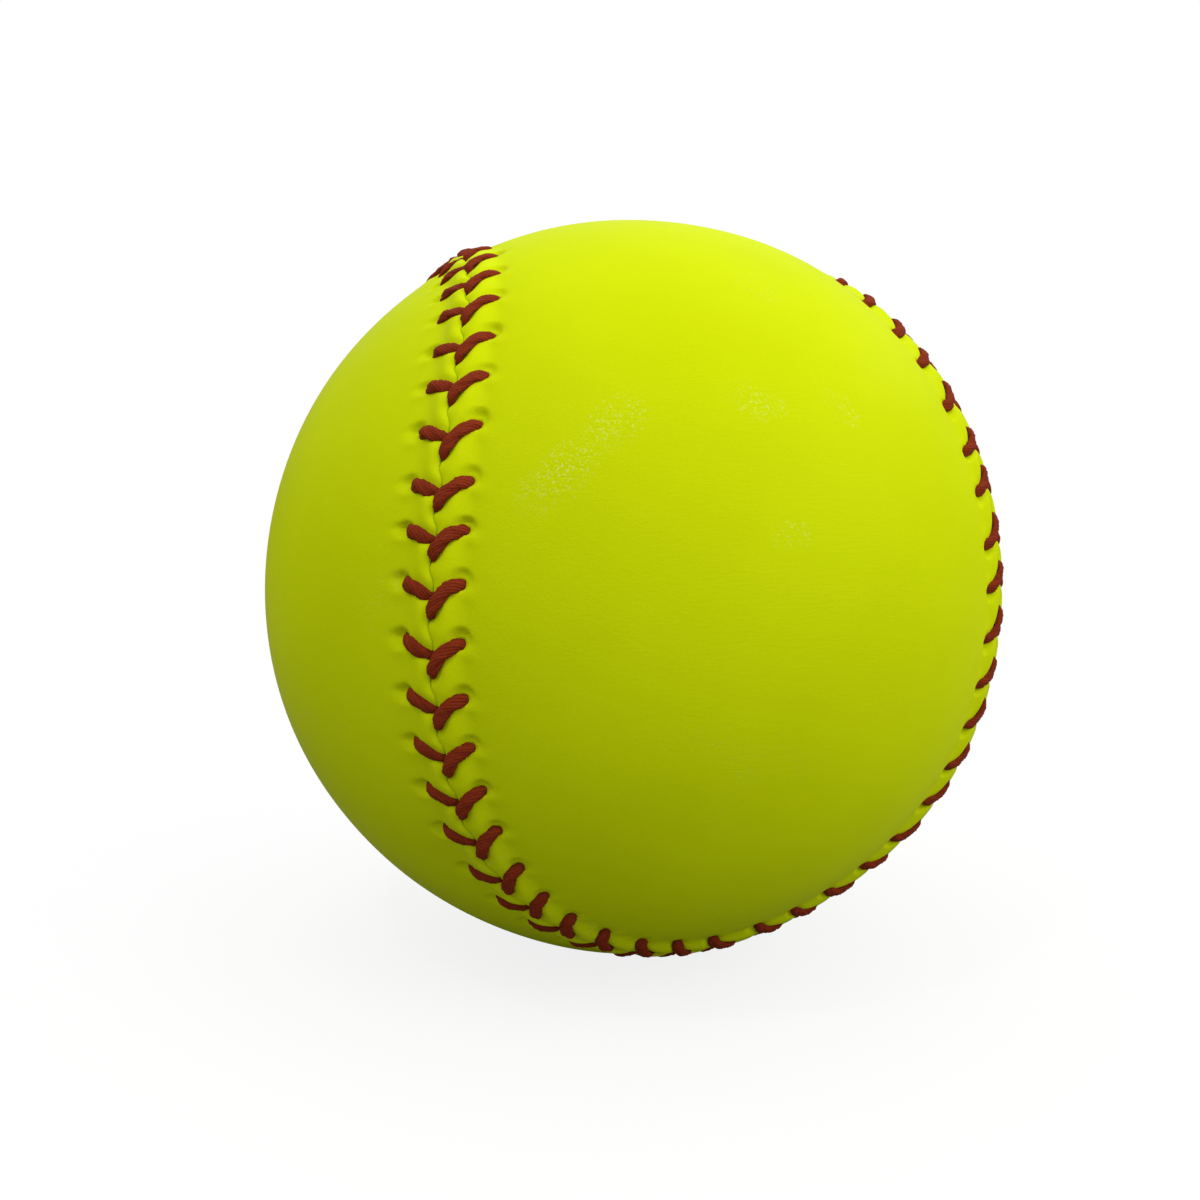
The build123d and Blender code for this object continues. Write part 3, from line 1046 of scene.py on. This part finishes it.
floor_mesh = bpy.data.meshes.new("studio_floor")
floor_level = cad_box[0][2] - floor_gap
floor_spots = [(x * floor_size / 2, y * floor_size / 2, floor_level) for x, y in floor_corners]
floor_mesh.from_pydata(floor_spots, [], [(0, 1, 2, 3)])
floor = add_object("studio_floor", floor_mesh)
floor_paper = bpy.data.materials.new("white_paper")
floor_paper.use_nodes = True
tree = floor_paper.node_tree
tree.nodes.clear()
rays = tree.nodes.new("ShaderNodeLightPath").outputs
paper_colour = colour_between(tree, rays["Is Camera Ray"], paper_bounce, paper_white)
paper = add_node(tree, "ShaderNodeBsdfDiffuse", {"Color": paper_colour})
white = add_node(tree, "ShaderNodeEmission", {"Color": pure_white, "Strength": 1.0})
flat_inputs = {0: piece_place(tree), 1: (1.0, 1.0, 0.0)}
flat_spot = add_node(tree, "ShaderNodeVectorMath", flat_inputs, operation="MULTIPLY")
away = add_node(tree, "ShaderNodeVectorMath", {0: flat_spot.outputs["Vector"]}, operation="LENGTH")
whiteness = number_between(tree, away.outputs["Value"], *seen_white_shares, shadow_reach)
shown = math_of(tree, "MULTIPLY", rays["Is Camera Ray"], whiteness)
sweep_inputs = {0: shown, 1: paper.outputs["BSDF"], 2: white.outputs["Emission"]}
sweep = add_node(tree, "ShaderNodeMixShader", sweep_inputs)
add_node(tree, "ShaderNodeOutputMaterial", {"Surface": sweep.outputs["Shader"]})
floor_mesh.materials.append(floor_paper)


# Light
# A soft sky of light is brightest overhead, and the camera sees it white.
# A large soft lamp stands at the right, and two small ones at the left front and the right back.
sky_at_horizon = 0.10
sky_overhead = 1.35

world = bpy.data.worlds.new("studio")
bpy.context.scene.world = world
world.use_nodes = True
tree = world.node_tree
tree.nodes.clear()
rays = tree.nodes.new("ShaderNodeLightPath").outputs
way = add_node(tree, "ShaderNodeTexCoord").outputs["Generated"]
rise = add_node(tree, "ShaderNodeSeparateXYZ", {"Vector": way}).outputs["Z"]
sky = number_between(tree, rise, sky_at_horizon, sky_overhead)
strength = number_between(tree, rays["Is Camera Ray"], sky, 1.0)
air = add_node(tree, "ShaderNodeBackground", {"Color": pure_white, "Strength": strength})
add_node(tree, "ShaderNodeOutputWorld", {"Surface": air.outputs["Background"]})


def add_soft_light(name, right, up, front, width, power):
    """A square soft light that faces the ball, placed in metres to the camera's right, up and towards it."""
    lamp = bpy.data.lights.new(name, "AREA")
    lamp.shape = "SQUARE"
    lamp.size = width
    lamp.energy = power
    place = camera_right * right + camera_up * up + toward_camera * front
    stand_facing(add_object(name, lamp), place, Vector((0, 0, 0)))


add_soft_light("left_front_light", right=-0.165, up=0.45, front=0.36, width=0.05, power=0.42)
add_soft_light("right_back_light", right=0.41, up=0.37, front=-0.23, width=0.06, power=0.12)
add_soft_light("right_light", right=0.90, up=0.50, front=0.50, width=0.90, power=5.5)

bpy.context.view_layer.update()
